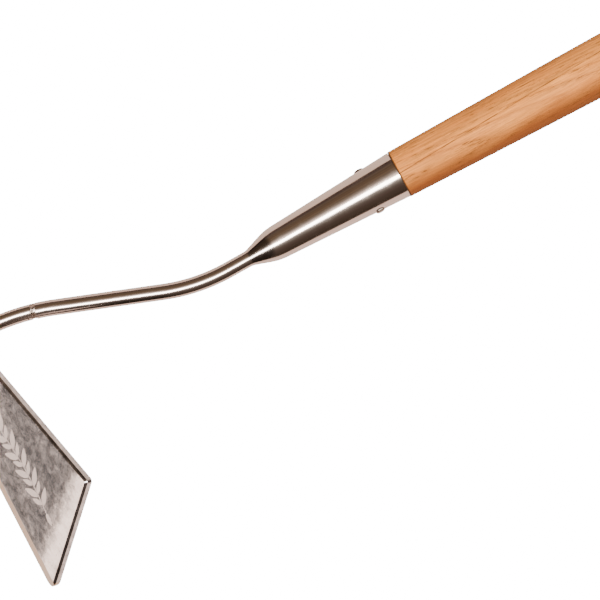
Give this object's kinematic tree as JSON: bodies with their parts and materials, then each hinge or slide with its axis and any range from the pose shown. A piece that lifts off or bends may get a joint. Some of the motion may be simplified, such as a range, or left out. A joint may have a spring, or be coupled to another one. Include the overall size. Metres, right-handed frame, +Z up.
{
  "type": "one-sided swan-neck hoe",
  "caption": "Long-handled garden hoe: tapered ash handle in a riveted stainless socket, bent rod neck, and a slanted one-sided flat blade with a ground cutting edge.",
  "frame": {"origin": "on the handle's axis, at the middle of the length of handle that is a true 36 mm cylinder", "axes": "+X along the handle towards its free end, +Z up when the hoe lies flat on a floor, with the blade's tall end towards -Y"},
  "size_m": [1.6011, 0.1718, 0.0596],
  "materials": {
    "ash_wood": "clear satin lacquer",
    "socket_steel": "polished stainless with fine turning lines",
    "rivet_steel": "polished",
    "weld_metal": "ground weld",
    "neck_steel": "polished stainless rod",
    "blade_steel": "tumbled and brushed stainless plate"
  },
  "bodies": {
    "root": {"ash_handle": "ash_wood", "socket": "socket_steel", "socket_rivet": "rivet_steel", "nose_weld": "weld_metal", "neck_rod_upper": "neck_steel", "neck_splice_weld": "weld_metal", "neck_rod_lower": "neck_steel", "blade_weld": "weld_metal", "blade": "blade_steel"}
  },
  "joints": []
}
